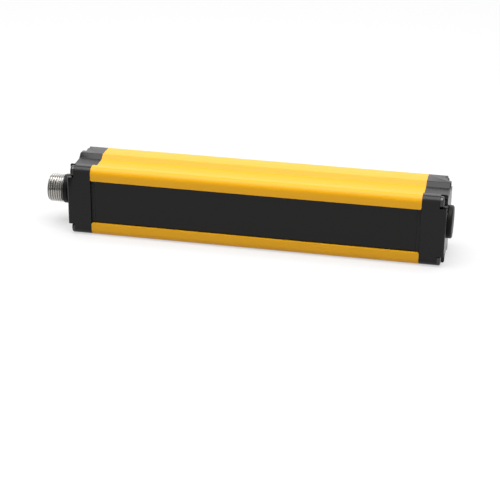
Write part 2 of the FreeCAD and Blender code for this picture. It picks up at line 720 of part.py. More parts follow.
def make_cap(end):
    """End cap: stepped corners for the screws, a bored centre, tongues and a gasket recess."""
    body = new_body(end + "_end_cap")
    pad(body, drawing(body, "outline", [OUTER_CORNERS + mirrored(OUTER_CORNERS)]), "cap_length")
    round_flanks(body)
    dress(body, "Chamfer", "edge", "cap_edge_chamfer",
          lambda edge, middle: near(middle.x, "cap_length"))
    front = both_flanks("-cut_margin", "front_notch_depth", "notch_half", "beyond_flank")
    rear = both_flanks("rear_notch_front", "beyond_back", "notch_half", "beyond_flank")
    middle = ("axis_depth", "0")
    holes = [((depth, height), "insert_radius") for label, depth, height in INSERTS]
    pilots = [((depth, height), "insert_pilot_radius") for label, depth, height in INSERTS]
    seats = [(axis, "screw_seat_radius") for axis in SCREW_AXES]
    shanks = [(axis, "screw_hole_radius") for axis in SCREW_AXES]
    pocket(body, drawing(body, "front_notches", front, offset="screw_seat"))
    pocket(body, drawing(body, "rear_notches", rear, offset="rear_notch_floor"))
    pocket(body, drawing(body, "screw_seats", circles=seats, offset="screw_seat"))
    pocket(body, drawing(body, "screw_holes", circles=shanks))
    pocket(body, drawing(body, "neck_hole", circles=[(middle, "neck_hole")]))
    pocket(body, drawing(body, "ring_seat", circles=[(middle, "ring_seat_radius")],
                         offset="ring_seat_floor"))
    pocket(body, drawing(body, "pilots", circles=pilots, offset="insert_pilot_floor"))
    pocket(body, drawing(body, "insert_holes", circles=holes, offset="insert_seat"))
    pocket(body, drawing(body, "gasket_recess", gasket_ring()), "gasket_thickness")
    tongues = both_flanks("tongue_front", "tongue_rear", "tongue_inner", "tongue_outer")
    pad(body, drawing(body, "tongues", tongues), "tongue_length", towards_start=True)
    at_end(body, end)


def make_gasket(end):
    """Flat rubber frame in the cap's recess, pressed on the end of the profile."""
    body = new_body(end + "_cap_gasket")
    pad(body, drawing(body, "frame", gasket_ring()), "gasket_thickness")
    at_end(body, end)


def make_cap_screws(end):
    """Four pan-head screws with cross recesses, from the cap's seats into the screw ports."""
    body = new_body(end + "_cap_screws")
    heads = [(axis, "screw_head_radius") for axis in SCREW_AXES]
    shanks = [(axis, "screw_radius") for axis in SCREW_AXES]
    pad(body, drawing(body, "heads", circles=heads, offset="screw_seat"), "screw_head_height")
    dress(body, "Chamfer", "bevel", "screw_head_bevel",
          lambda edge, middle: near(middle.x, "screw_head_top"))
    pad(body, drawing(body, "shanks", circles=shanks, offset="-screw_bite"), "screw_length")
    arm, reach = "recess_half_width", "recess_reach"
    cross = [(arm, reach), (arm, arm), (reach, arm),
             (reach, "-" + arm), (arm, "-" + arm), (arm, "-" + reach),
             ("-" + arm, "-" + reach), ("-" + arm, "-" + arm), ("-" + reach, "-" + arm),
             ("-" + reach, arm), ("-" + arm, arm), ("-" + arm, reach)]
    for number, axis in enumerate(SCREW_AXES, 1):
        recess = drawing(body, "recess_%d" % number, [cross], offset="screw_head_top", shift=axis)
        pocket(body, recess, "recess_depth", forwards=False)
    at_end(body, end)


def turned(name, corners, end, depth="axis_depth", height="0"):
    """A piece turned about the end's X axis, given as (reach, radius) corners."""
    body = new_body(name)
    revolve(body, drawing(body, "profile", [corners], role="XY_Plane"))
    at_end(body, end, depth, height)
    return body


def make_inserts(end):
    """Two brass M4 inserts, set diagonally in the cap's end face."""
    corners = [
        ("insert_seat", "insert_thread_radius"),
        ("insert_seat", "insert_radius"),
        ("insert_groove_start", "insert_radius"),
        ("insert_groove_start", "insert_groove_floor"),
        ("insert_groove_end", "insert_groove_floor"),
        ("insert_groove_end", "insert_radius"),
        ("insert_mouth", "insert_radius"),
        ("insert_mouth", "insert_thread_radius"),
    ]
    for label, depth, height in INSERTS:
        turned("%s_%s_insert" % (end, label), corners, end, depth, height)


def make_sealing_ring(name, end):
    """Flat rubber ring in the counterbore of the cap."""
    turned(name, rectangle("ring_seat_floor", "cap_length", "ring_inner", "ring_outer"), end)


def make_lock_nut(name, end):
    """Hexagon nut on the neck, against the inside of the cap."""
    body = new_body(name)
    upper = [("nut_corner", "0"), ("nut_side", "nut_flats"), ("-nut_side", "nut_flats"),
             ("-nut_corner", "0"), ("-nut_side", "-nut_flats"), ("nut_side", "-nut_flats")]
    hexagon = drawing(body, "hexagon", [upper], [(("0", "0"), "nut_bore")])
    pad(body, hexagon, "nut_height", towards_start=True)
    at_end(body, end, "axis_depth")


def make_plug():
    """Connector of the left end: moulded stub, threaded sleeve, pin block and contact pins."""
    turned("plug_body", [
        ("-neck_reach", "pin_block_radius"),
        ("-neck_reach", "neck_radius"),
        ("cap_length", "neck_radius"),
        ("cap_length", "stub_radius"),
        ("stub_band_start", "stub_radius"),
        ("stub_band_start", "stub_band_radius"),
        ("stub_band_end", "stub_band_radius"),
        ("stub_band_end", "stub_radius"),
        ("stub_end", "stub_radius"),
        ("stub_end", "sleeve_spigot"),
        ("sleeve_floor", "sleeve_spigot"),
        ("sleeve_floor", "sleeve_bore"),
        ("pin_block_shoulder", "sleeve_bore"),
        ("pin_block_shoulder", "pin_block_radius"),
    ], "left")
    turned("plug_sleeve", [
        ("sleeve_floor", "sleeve_bore"),
        ("sleeve_floor", "sleeve_spigot"),
        ("stub_end", "sleeve_spigot"),
        ("stub_end", "plug_radius"),
        ("thread_crest_end", "plug_radius"),
        ("plug_mouth", "thread_mouth_radius"),
        ("plug_mouth", "sleeve_bore"),
    ], "left")
    block = turned("pin_block", [
        ("-pin_block_rear", "0"),
        ("-pin_block_rear", "pin_block_radius"),
        ("pin_block_shoulder", "pin_block_radius"),
        ("pin_block_shoulder", "sleeve_bore"),
        ("pin_block_face", "sleeve_bore"),
        ("pin_block_face", "0"),
    ], "left")
    pins = [((along, up), "pin_radius") for along, up in (
        ("pin_circle", "0"), ("-pin_circle", "0"), ("0", "pin_circle"), ("0", "-pin_circle"))]
    pocket(block, drawing(block, "pin_holes", circles=pins, offset="-pin_block_rear"))
    key = rectangle("key_inner", "key_outer", "-key_half_width", "key_half_width")
    pad(block, drawing(block, "key", [key], offset="pin_block_face", turn=45.0), "key_length")
    body = new_body("contact_pins")
    pad(body, drawing(body, "pins", circles=pins, offset="-pin_end"), "pin_length")
    dress(body, "Chamfer", "tips", "pin_bevel", lambda edge, middle: near(middle.x, "pin_tip"))
    at_end(body, "left", "axis_depth")


def make_blanking_plug():
    """Round black plug that closes the far cap's centre hole."""
    turned("blanking_plug", [
        ("-neck_reach", "0"),
        ("-neck_reach", "neck_radius"),
        ("cap_length", "neck_radius"),
        ("cap_length", "blank_radius"),
        ("blank_edge_start", "blank_radius"),
        ("blank_face", "blank_face_radius"),
        ("blank_face", "0"),
    ], "right")


def make_carrier_pads(end):
    """Two rubber pads between the cap's tongues and the carrier."""
    body = new_body(end + "_carrier_pads")
    faces = both_flanks("tongue_front", "tongue_rear", "tongue_inner", "tongue_outer")
    pad(body, drawing(body, "faces", faces, offset="-pad_far"), "pad_length")
    at_end(body, end)


# ---------------------------------------------------------------- optics

def make_carrier():
    """Optics carrier: trays for mask and lens bar, and a light cone for each beam."""
    body = new_body("optics_carrier")
    block = rectangle("carrier_front", "carrier_rear", "-carrier_half", "carrier_half")
    pad(body, drawing(body, "block", [block]), "carrier_length")
    mask = rectangle("mask_tray_start", "mask_tray_end", "-mask_tray_half", "mask_tray_half")
    lens = rectangle("lens_tray_start", "lens_tray_end", "-lens_tray_half", "lens_tray_half")
    pocket(body, drawing(body, "mask_tray", [mask], role="XZ_Plane", offset="-mask_floor"))
    pocket(body, drawing(body, "lens_tray", [lens], role="XZ_Plane", offset="-lens_floor"))
    cone = [("0", "lens_floor"), ("cone_mouth", "lens_floor"), ("emitter_bore", "cone_floor"),
            ("emitter_bore", "bore_end"), ("0", "bore_end")]
    section = drawing(body, "cone", [cone], role="XY_Plane", shift=("first_bore", "0"))
    in_a_row(body, revolve(body, section, "V_Axis", cut=True), "beam_pitch", "beam_count")
    at_section(body, "carrier_left")


def make_aperture_mask():
    """Thin mask with one round hole for each beam."""
    body = new_body("aperture_mask")
    sheet_sides = rectangle("carrier_front", "mask_floor", "-mask_half", "mask_half")
    pad(body, drawing(body, "sheet", [sheet_sides], offset="mask_margin"), "mask_length")
    hole = drawing(body, "hole", circles=[(("0", "0"), "mask_aperture")], role="XZ_Plane",
                   shift=("first_bore", "0"))
    in_a_row(body, pocket(body, hole, forwards=False), "beam_pitch", "beam_count")
    at_section(body, "carrier_left")


def make_lens_bar():
    """Clear plate with one lens dome for each beam."""
    body = new_body("lens_bar")
    plate = rectangle("lens_front", "lens_floor", "-lens_half", "lens_half")
    pad(body, drawing(body, "plate", [plate], offset="lens_start"), "lens_length")
    dome = [("0", "mask_floor"), ("lens_radius", "lens_front"), ("0", "lens_front")]
    section = drawing(body, "dome", [dome], role="XY_Plane", shift=("first_bore", "0"),
                      arc=(0, "lens_ball"))
    in_a_row(body, revolve(body, section, "V_Axis"), "beam_pitch", "beam_count")
    at_section(body, "carrier_left")


def make_emitters():
    """Domed infrared emitters on the front of the board, one for each beam."""
    body = new_body("emitters")
    half = [("0", "emitter_front"), ("emitter_crown", "emitter_front"),
            ("emitter_radius", "emitter_rim"),
            ("emitter_radius", "emitter_shoulder"), ("emitter_base", "emitter_shoulder"),
            ("emitter_base", "board_front"), ("0", "board_front")]
    section = drawing(body, "half", [half], role="XY_Plane", shift=("first_beam", "0"))
    in_a_row(body, revolve(body, section, "V_Axis"), "beam_pitch", "beam_count")
    at_section(body)


# ---------------------------------------------------------------- electronics

def make_boards():
    """Main board in the guide ribs, and the small board soldered to the plug's pins."""
    body = new_body("main_board")
    plate = rectangle("board_front", "board_rear", "-board_half", "board_half")
    pad(body, drawing(body, "plate", [plate], offset="board_start"), "board_length")
    at_section(body)
    body = new_body("plug_board")
    plate = rectangle("plug_board_front", "plug_board_back",
                      "-plug_board_half_height", "plug_board_half_height")
    holes = [((depth, height), "pin_radius") for depth, height in (
        ("pin_depth_front", "0"), ("pin_depth_rear", "0"),
        ("axis_depth", "pin_circle"), ("axis_depth", "-pin_circle"))]
    holes += [(("header_pin_depth", height), "header_hole") for height in HEADER_HEIGHTS]
    pad(body, drawing(body, "plate", [plate], holes, offset="-plug_board_rear"),
        "plug_board_thickness")
    at_end(body, "left")


HEADER_HEIGHTS = ["-header_outer", "-header_inner", "header_inner", "header_outer"]


def make_header():
    """Right-angle header that joins the plug board to the main board."""
    body = new_body("header_strip")
    strip = rectangle("header_front", "board_front", "-header_half", "header_half")
    square = rectangle("-header_pin_half", "header_pin_half", "-header_pin_half", "header_pin_half")
    pad(body, drawing(body, "strip", [strip], offset="board_start"), "header_section")
    for number, height in enumerate(HEADER_HEIGHTS, 1):
        hole = drawing(body, "hole_%d" % number, [square], shift=("header_pin_depth", height))
        pocket(body, hole)
    at_section(body)
    body = new_body("header_pins")
    for number, height in enumerate(HEADER_HEIGHTS, 1):
        shaft = drawing(body, "shaft_%d" % number, [square], offset="pin_block_rear",
                        shift=("header_pin_depth", height))
        pad(body, shaft, "header_pin_length")
        foot = drawing(body, "foot_%d" % number, [square], role="XZ_Plane",
                       offset="-header_pin_depth", shift=("header_foot_place", height))
        pad(body, foot, "header_foot_length", towards_start=True)
    at_section(body)


def make_packages():
    """Packages behind the board: processor, one driver for each beam, two capacitors."""
    body = new_body("processor")
    square = rectangle("-processor_half", "processor_half", "-processor_half", "processor_half")
    pad(body, drawing(body, "package", [square], role="XZ_Plane", offset="-board_rear",
                      shift=("processor_place", "processor_offset")),
        "chip_height", towards_start=True)
    at_section(body)
    body = new_body("beam_drivers")
    package = rectangle("-driver_half_length", "driver_half_length",
                        "-driver_half_width", "driver_half_width")
    driver = pad(body, drawing(body, "package", [package], role="XZ_Plane", offset="-board_rear",
                               shift=("first_beam", "-driver_offset")),
                 "chip_height", towards_start=True)
    in_a_row(body, driver, "beam_pitch", "beam_count")
    at_section(body)
    body = new_body("capacitors")
    can = pad(body, drawing(body, "can", circles=[(("capacitor_depth", "capacitor_offset"),
                                                   "capacitor_radius")],
                            offset="capacitor_start"), "capacitor_length")
    in_a_row(body, can, "capacitor_pitch", "capacitor_count")
    at_section(body)


def make_indicators():
    """Three status lamps at the far end of the board, and the clear light guide over them."""
    places = [("status", "-indicator_pitch"), ("power", "0"), ("beam", "indicator_pitch")]
    body = new_body("status_lamps")
    square = rectangle("-indicator_half", "indicator_half", "-indicator_half", "indicator_half")
    for label, height in places:
        lamp = drawing(body, label, [square], role="XZ_Plane", offset="-indicator_front",
                       shift=("indicator_place", height))
        pad(body, lamp, "indicator_height", towards_start=True)
    at_section(body)
    body = new_body("light_guide")
    bar = rectangle("-guide_radius", "guide_radius", "-guide_half", "guide_half")
    pad(body, drawing(body, "bar", [bar], role="XZ_Plane", offset="-guide_bar_front",
                      shift=("indicator_place", "0")), "guide_bar", towards_start=True)
    rods = [(("0", height), "guide_radius") for label, height in places]
    pad(body, drawing(body, "rods", circles=rods, role="XZ_Plane", offset="-guide_bar_front",
                      shift=("indicator_place", "0")), "guide_rod_length")
    at_section(body)


# ---------------------------------------------------------------- build and write

def check_document():
    """Every object has to be up to date and sound."""
    for obj in doc.Objects:
        if "Invalid" in obj.State or "Error" in obj.State:
            raise RuntimeError("%s failed: %s" % (obj.Name, obj.State))
        if obj.TypeId == "PartDesign::Body":
            if obj.Shape.isNull() or not obj.Shape.isValid() or obj.Shape.Volume <= 0:
                raise RuntimeError(obj.Name + " has no sound shape")


def write_parts():
    """One STEP file for each body."""
    os.makedirs(PARTS, exist_ok=True)
    for obj in doc.Objects:
        if obj.TypeId == "PartDesign::Body":
            obj.Shape.exportStep(os.path.join(PARTS, obj.Label + ".step"))
            print("%-22s %d solid(s) %10.3f mm3" % (obj.Label, len(obj.Shape.Solids), obj.Shape.Volume))


def main():
    """Build every piece, check the document and write the parts."""
    fill_sheet()
    make_profile()
    make_window_parts()
    for end in ("left", "right"):
        make_cap(end)
        make_gasket(end)
        make_cap_screws(end)
        make_inserts(end)
        make_carrier_pads(end)
    make_plug()
    make_sealing_ring("plug_ring", "left")
    make_lock_nut("plug_nut", "left")
    make_blanking_plug()
    make_sealing_ring("blank_ring", "right")
    make_lock_nut("blank_nut", "right")
    make_carrier()
    make_aperture_mask()
    make_lens_bar()
    make_emitters()
    make_boards()
    make_header()
    make_packages()
    make_indicators()
    doc.recompute()
    check_document()
    write_parts()


main()
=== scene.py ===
"""Finishes and scene of the safety light curtain bar: housing, window, caps, plug and stage."""

import json
import math

import bmesh
import bpy
from mathutils import Matrix, Vector


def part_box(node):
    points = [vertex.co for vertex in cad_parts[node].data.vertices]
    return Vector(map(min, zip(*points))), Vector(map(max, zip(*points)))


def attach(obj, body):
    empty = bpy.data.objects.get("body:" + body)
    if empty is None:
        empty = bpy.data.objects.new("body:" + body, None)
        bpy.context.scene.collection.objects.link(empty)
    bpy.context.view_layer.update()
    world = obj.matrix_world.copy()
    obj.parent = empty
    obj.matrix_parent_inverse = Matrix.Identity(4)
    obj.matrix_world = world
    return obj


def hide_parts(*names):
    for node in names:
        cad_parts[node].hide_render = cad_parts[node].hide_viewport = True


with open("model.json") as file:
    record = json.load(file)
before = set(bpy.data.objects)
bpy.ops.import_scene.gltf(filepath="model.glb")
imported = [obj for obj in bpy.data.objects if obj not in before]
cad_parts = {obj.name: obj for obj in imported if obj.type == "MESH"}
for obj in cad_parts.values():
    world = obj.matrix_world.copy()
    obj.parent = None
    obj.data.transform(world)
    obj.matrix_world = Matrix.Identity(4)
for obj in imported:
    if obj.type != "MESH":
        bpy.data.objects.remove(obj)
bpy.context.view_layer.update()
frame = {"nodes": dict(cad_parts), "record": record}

bl_info = {
    "name": "Light Curtain Bar",
    "version": (1, 0, 0),
    "blender": (4, 5, 0),
    "location": "View3D > Sidebar > Light Curtain",
    "description": "Builds the finished pieces, finishes and stage of a safety light curtain bar",
    "category": "Object",
}

MM = 0.001
BODY = "root"
MERGE_DISTANCE = 0.002 * MM
FLAT_ANGLE = math.radians(0.5)

# How the thread ridges rise: the share of half a pitch that the root and then the flank take
SLEEVE_ROOT, SLEEVE_FLANK = 0.12, 0.66
INSERT_ROOT, INSERT_FLANK = 0.15, 0.6

# Floor as the camera sees it: its shade and glow near the bar, and where it turns plain white
FLOOR_SHADE, FLOOR_GLOW = 0.30, 0.57
FLOOR_SPOT, FLOOR_FADE, FLOOR_HALF = 0.3, 0.4, 6.0

CAMERA_PLACE = Vector((119.25, -572.65, 245.4)) * MM
CAMERA_VIEW = Vector((-0.1852, 0.8999, -0.3949)).normalized()
CAMERA_ROLL = math.radians(-0.7)
CAMERA_LENS = 108.0
WHITE = (1.0, 1.0, 1.0, 1.0)


# Sizes and colours that a user may change

class CURTAIN_PG_sizes(bpy.types.PropertyGroup):
    """Sizes of the finished details."""

    housing_edge: bpy.props.FloatProperty(
        name="Housing Edge", description="Width of the broken edges on the aluminium profile",
        default=0.35 * MM, min=0.0, precision=5, unit="LENGTH")
    cap_edge: bpy.props.FloatProperty(
        name="Cap Edge", description="Width of the rounded edges on the end caps",
        default=0.25 * MM, min=0.0, precision=5, unit="LENGTH")
    window_edge: bpy.props.FloatProperty(
        name="Window Edge", description="Width of the polished edges on the window strip",
        default=0.1 * MM, min=0.0, precision=5, unit="LENGTH")
    plug_pitch: bpy.props.FloatProperty(
        name="Plug Pitch", description="Pitch of the M12 thread on the plug",
        default=1.0 * MM, min=0.5 * MM, precision=5, unit="LENGTH")
    plug_thread_depth: bpy.props.FloatProperty(
        name="Plug Thread Depth", description="Depth of the thread on the plug",
        default=0.54 * MM, min=0.0, precision=5, unit="LENGTH")
    insert_pitch: bpy.props.FloatProperty(
        name="Insert Pitch", description="Pitch of the M4 thread in the brass inserts",
        default=0.7 * MM, min=0.3 * MM, precision=5, unit="LENGTH")
    insert_thread_depth: bpy.props.FloatProperty(
        name="Insert Thread Depth", description="Depth of the thread in the brass inserts",
        default=0.3 * MM, min=0.0, precision=5, unit="LENGTH")
    insert_bore: bpy.props.FloatProperty(
        name="Insert Bore", description="Outer radius of the M4 thread in the inserts",
        default=2.0 * MM, min=1.0 * MM, precision=5, unit="LENGTH")
    sleeve_bore: bpy.props.FloatProperty(
        name="Sleeve Bore", description="Radius of the bore of the plug's sleeve",
        default=5.2 * MM, min=1.0 * MM, precision=5, unit="LENGTH")
    sleeve_spigot: bpy.props.FloatProperty(
        name="Sleeve Spigot", description="Radius of the sleeve where the stub holds it",
        default=5.5 * MM, min=1.0 * MM, precision=5, unit="LENGTH")
    head_height: bpy.props.FloatProperty(
        name="Head Height", description="Height of the cap screws' heads",
        default=1.7 * MM, min=0.5 * MM, precision=5, unit="LENGTH")
    shank_radius: bpy.props.FloatProperty(
        name="Shank Radius", description="Radius of the cap screws' threads",
        default=1.5 * MM, min=0.5 * MM, precision=5, unit="LENGTH")
    recess_reach: bpy.props.FloatProperty(
        name="Recess Reach", description="Reach of the cross recess from the screw's axis",
        default=1.45 * MM, min=0.1 * MM, precision=5, unit="LENGTH")
    recess_width: bpy.props.FloatProperty(
        name="Recess Width", description="Half width of an arm of the cross recess",
        default=0.35 * MM, min=0.05 * MM, precision=5, unit="LENGTH")
    recess_depth: bpy.props.FloatProperty(
        name="Recess Depth", description="Depth of the cross recess",
        default=1.0 * MM, min=0.1 * MM, precision=5, unit="LENGTH")
    grain: bpy.props.FloatProperty(
        name="Grain", description="Size of the moulded grain on the caps",
        default=0.22 * MM, min=0.01 * MM, precision=5, unit="LENGTH")


class CURTAIN_PG_colours(bpy.types.PropertyGroup):
    """Colours of the finishes, and light levels of the stage."""

    coat: bpy.props.FloatVectorProperty(
        name="Coat", description="Yellow coat on the profile",
        default=(0.82, 0.396, 0.003), subtype="COLOR", size=3, min=0.0, max=1.0)
    moulding: bpy.props.FloatVectorProperty(
        name="Moulding", description="Black end caps",
        default=(0.0045, 0.0046, 0.005), subtype="COLOR", size=3, min=0.0, max=1.0)
    window: bpy.props.FloatVectorProperty(
        name="Window", description="Dark infrared window",
        default=(0.0045, 0.0043, 0.004), subtype="COLOR", size=3, min=0.0, max=1.0)
    brass: bpy.props.FloatVectorProperty(
        name="Brass", description="Threaded inserts",
        default=(0.83, 0.60, 0.27), subtype="COLOR", size=3, min=0.0, max=1.0)
    nickel: bpy.props.FloatVectorProperty(
        name="Nickel", description="Plated sleeve of the plug",
        default=(0.60, 0.585, 0.56), subtype="COLOR", size=3, min=0.0, max=1.0)
    floor: bpy.props.FloatVectorProperty(
        name="Floor", description="Pale floor under the bar",
        default=(0.60, 0.60, 0.60), subtype="COLOR", size=3, min=0.0, max=1.0)
    ambient: bpy.props.FloatProperty(
        name="Ambient", description="Even light from all round", default=0.25, min=0.0)
    key_power: bpy.props.FloatProperty(
        name="Key Power", description="Softbox over the bar", default=13.2, min=0.0, unit="POWER")
    fill_power: bpy.props.FloatProperty(
        name="Fill Power", description="Softbox beside the camera", default=0.15, min=0.0,
        unit="POWER")
    rear_power: bpy.props.FloatProperty(
        name="Rear Power", description="Wide softbox behind the bar", default=7.0, min=0.0,
        unit="POWER")


# Finishes

class Wire:
    """An output in a finish's node tree that takes part in sums like a number."""

    def __init__(self, tree, socket):
        self.tree = tree
        self.socket = socket

    def joined(self, operation, *terms):
        node = self.tree.nodes.new("ShaderNodeMath")
        node.operation = operation
        for socket, term in zip(node.inputs, terms):
            connect(self.tree, term, socket)
        return Wire(self.tree, node.outputs[0])

    def __add__(self, other):
        return self.joined("ADD", self, other)

    def __radd__(self, other):
        return self.joined("ADD", other, self)

    def __sub__(self, other):
        return self.joined("SUBTRACT", self, other)

    def __rsub__(self, other):
        return self.joined("SUBTRACT", other, self)

    def __mul__(self, other):
        return self.joined("MULTIPLY", self, other)

    def __rmul__(self, other):
        return self.joined("MULTIPLY", other, self)

    def __truediv__(self, other):
        return self.joined("DIVIDE", self, other)

    def __rtruediv__(self, other):
        return self.joined("DIVIDE", other, self)

    def above(self, edge):
        return self.joined("GREATER_THAN", self, edge)

    def largest(self, other):
        return self.joined("MAXIMUM", self, other)

    def within_one(self):
        """The value held between 0 and 1."""
        return self.joined("MINIMUM", self.largest(0.0), 1.0)


def connect(tree, term, socket):
    """A wire is linked to the socket, and a plain value is set on it."""
    if isinstance(term, Wire):
        tree.links.new(term.socket, socket)
    elif hasattr(term, "__len__") and len(term) == 3 and socket.type == "RGBA":
        socket.default_value = (*term, 1.0)
    else:
        socket.default_value = term


def vector_length(tree, vector):
    node = tree.nodes.new("ShaderNodeVectorMath")
    node.operation = "LENGTH"
    connect(tree, vector, node.inputs[0])
    return Wire(tree, node.outputs["Value"])


def mixed_shaders(tree, factor, first, second):
    """A Mix Shader from the first shader at 0 to the second at 1."""
    mix = tree.nodes.new("ShaderNodeMixShader")
    connect(tree, factor, mix.inputs[0])
    tree.links.new(first.outputs[0], mix.inputs[1])
    tree.links.new(second.outputs[0], mix.inputs[2])
    return mix


class Finish:
    """A material's node tree with one Principled shader."""

    def __init__(self, name, **constants):
        self.material = bpy.data.materials.new(name)
        self.material.use_nodes = True
        self.tree = self.material.node_tree
        self.tree.nodes.clear()
        self.end = self.tree.nodes.new("ShaderNodeOutputMaterial")
        self.shader = self.tree.nodes.new("ShaderNodeBsdfPrincipled")
        self.tree.links.new(self.shader.outputs[0], self.end.inputs["Surface"])
        self.set(constants)

    def set(self, sockets):
        for name, term in sockets.items():
            connect(self.tree, term, self.shader.inputs[name.replace("_", " ")])

    def node(self, kind, settings=None, sockets=None, output=0):
        node = self.tree.nodes.new(kind)
        for name, setting in (settings or {}).items():
            setattr(node, name, setting)
        for name, term in (sockets or {}).items():
            connect(self.tree, term, node.inputs[name])
        return Wire(self.tree, node.outputs[output])

    def place(self, scale=(1.0, 1.0, 1.0), location=(0.0, 0.0, 0.0)):
        """Object coordinates in metres, scaled and shifted."""
        coordinates = self.node("ShaderNodeTexCoord", output="Object")
        return self.node("ShaderNodeMapping", sockets={
            "Vector": coordinates, "Scale": scale, "Location": location})

    def noise(self, size, stretch=(1.0, 1.0, 1.0), detail=2.0, roughness=0.5):
        """Noise from 0 to 1 whose features are about this size in metres."""
        scale = tuple(1.0 / (size * s) for s in stretch)
        return self.node("ShaderNodeTexNoise", sockets={
            "Vector": self.place(scale), "Scale": 1.0, "Detail": detail, "Roughness": roughness})

    def mix(self, factor, first, second):
        node = self.tree.nodes.new("ShaderNodeMix")
        node.data_type = "RGBA"
        connect(self.tree, factor, node.inputs[0])
        connect(self.tree, first, node.inputs[6])
        connect(self.tree, second, node.inputs[7])
        return Wire(self.tree, node.outputs[2])

    def bump(self, height, strength, distance):
        return self.node("ShaderNodeBump", sockets={
            "Height": height, "Strength": strength, "Distance": distance})


def shade(colour, amount):
    """The colour made lighter or darker by a share."""
    return tuple(min(1.0, c * amount) for c in colour)


def coat_finish(coat):
    """Satin yellow coat with the fine lengthwise lines of the drawn profile under it."""
    finish = Finish("yellow_coat", Specular_IOR_Level=0.25)
    lines = finish.noise(0.35 * MM, (120.0, 1.0, 1.0), 3.0)
    streaks = finish.noise(1.1 * MM, (200.0, 1.0, 1.0), 1.0)
    cloud = finish.noise(9 * MM, (3.0, 1.0, 1.0), 3.0)
    peel = finish.noise(0.3 * MM, detail=2.0)
    base = finish.mix(cloud, shade(coat, 0.97), shade(coat, 1.03))
    finish.set({
        "Base Color": finish.mix(lines * 0.35 + streaks * 0.5, base, shade(coat, 0.88)),
        "Roughness": 0.30 + lines * 0.08 + cloud * 0.08,
        "Normal": finish.bump(lines * 0.7 + peel * 0.3, 0.12, 0.03 * MM)})


def moulding_finish(name, colour, grain_size, roughness=0.2, specular=0.24):
    """Moulded black plastic with a fine grain."""
    finish = Finish(name, Specular_IOR_Level=specular)
    grain = finish.noise(grain_size, detail=3.0, roughness=0.6)
    cloud = finish.noise(6 * MM, detail=3.0)
    finish.set({
        "Base Color": finish.mix(cloud, shade(colour, 0.85), shade(colour, 1.15)),
        "Roughness": roughness + grain * 0.06 + cloud * 0.08,
        "Normal": finish.bump(grain, 0.22, 0.05 * MM)})


def window_finish(colour):
    """Polished infrared-passing plastic, near black, with the faintest wipe marks."""
    finish = Finish("window_dark", Specular_IOR_Level=0.22)
    wipes = finish.noise(4 * MM, (6.0, 1.0, 1.0), 4.0)
    dust = finish.noise(0.25 * MM, detail=1.0).above(0.74)
    finish.set({
        "Base Color": finish.mix(dust * 0.25, colour, (0.03, 0.03, 0.03)),
        "Roughness": 0.05 + wipes * 0.07,
        "Normal": finish.bump(wipes, 0.03, 0.02 * MM)})


def metal_finish(name, colour, roughness):
    """Metal with fine tool marks and slightly uneven polish."""
    finish = Finish(name, Metallic=1.0)
    marks = finish.noise(0.12 * MM)
    cloud = finish.noise(2.5 * MM, detail=3.0)
    finish.set({
        "Base Color": finish.mix(cloud, shade(colour, 0.9), shade(colour, 1.06)),
        "Roughness": roughness + marks * 0.06 + cloud * 0.1,
        "Normal": finish.bump(marks, 0.08, 0.02 * MM)})


def nickel_finish(colour, thread_depth):
    """Nickel plate with painted shade between the ridges of the plug's thread, where it is also
    made dull.
    """
    finish = Finish("nickel", Metallic=1.0)
    low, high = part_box("plug_sleeve")
    middle = (low + high) / 2
    flank = (high.y - low.y) / 2 - 0.2 * MM
    across = finish.place((0.0, 1.0, 1.0), (0.0, -middle.y, -middle.z))
    # root: painted shade mask, rising where the radius falls below the crests, in the thread's
    # recesses
    root = ((flank - vector_length(finish.tree, across)) / (thread_depth * 0.6)).within_one()
    cloud = finish.noise(2.5 * MM, detail=3.0)
    bright = finish.mix(cloud, shade(colour, 0.92), shade(colour, 1.05))
    finish.set({
        # The base colour is darkened to four tenths in the roots as painted shade
        "Base Color": finish.mix(root, bright, shade(colour, 0.4)),
        "Roughness": 0.12 + root * 0.25 + cloud * 0.08})


def rubber_finish():
    """Matt black rubber."""
    finish = Finish("black_rubber", Specular_IOR_Level=0.25)
    grain = finish.noise(0.15 * MM, detail=3.0)
    finish.set({
        "Base Color": finish.mix(grain, (0.012, 0.012, 0.012), (0.022, 0.022, 0.022)),
        "Roughness": 0.62 + grain * 0.2,
        "Normal": finish.bump(grain, 0.25, 0.04 * MM)})


def clear_finish(name, colour, roughness):
    """Clear moulded optics, with a trace of flow marks."""
    finish = Finish(name, Transmission_Weight=0.9, IOR=1.49)
    flow = finish.noise(3 * MM, detail=2.0)
    finish.set({
        "Base Color": finish.mix(flow, shade(colour, 0.96), colour),
        "Roughness": roughness + flow * 0.05})


def board_finish():
    """Circuit board: solder mask over a maze of straight copper tracks."""
    finish = Finish("board_green", Specular_IOR_Level=0.5)
    along = finish.node("ShaderNodeTexWave", {"wave_type": "BANDS", "bands_direction": "Z"}, {
        "Vector": finish.place(), "Scale": 260.0, "Distortion": 0.0})
    across = finish.node("ShaderNodeTexWave", {"wave_type": "BANDS", "bands_direction": "X"}, {
        "Vector": finish.place(), "Scale": 220.0, "Distortion": 0.0})
    areas = finish.noise(7 * MM, detail=0.0).above(0.5)
    tracks = (along * areas + across * (1.0 - areas)).above(0.72)
    finish.set({
        "Base Color": finish.mix(tracks, (0.008, 0.075, 0.022), (0.022, 0.15, 0.05)),
        "Roughness": 0.28 + finish.noise(2 * MM) * 0.1,
        "Normal": finish.bump(tracks, 0.3, 0.03 * MM)})


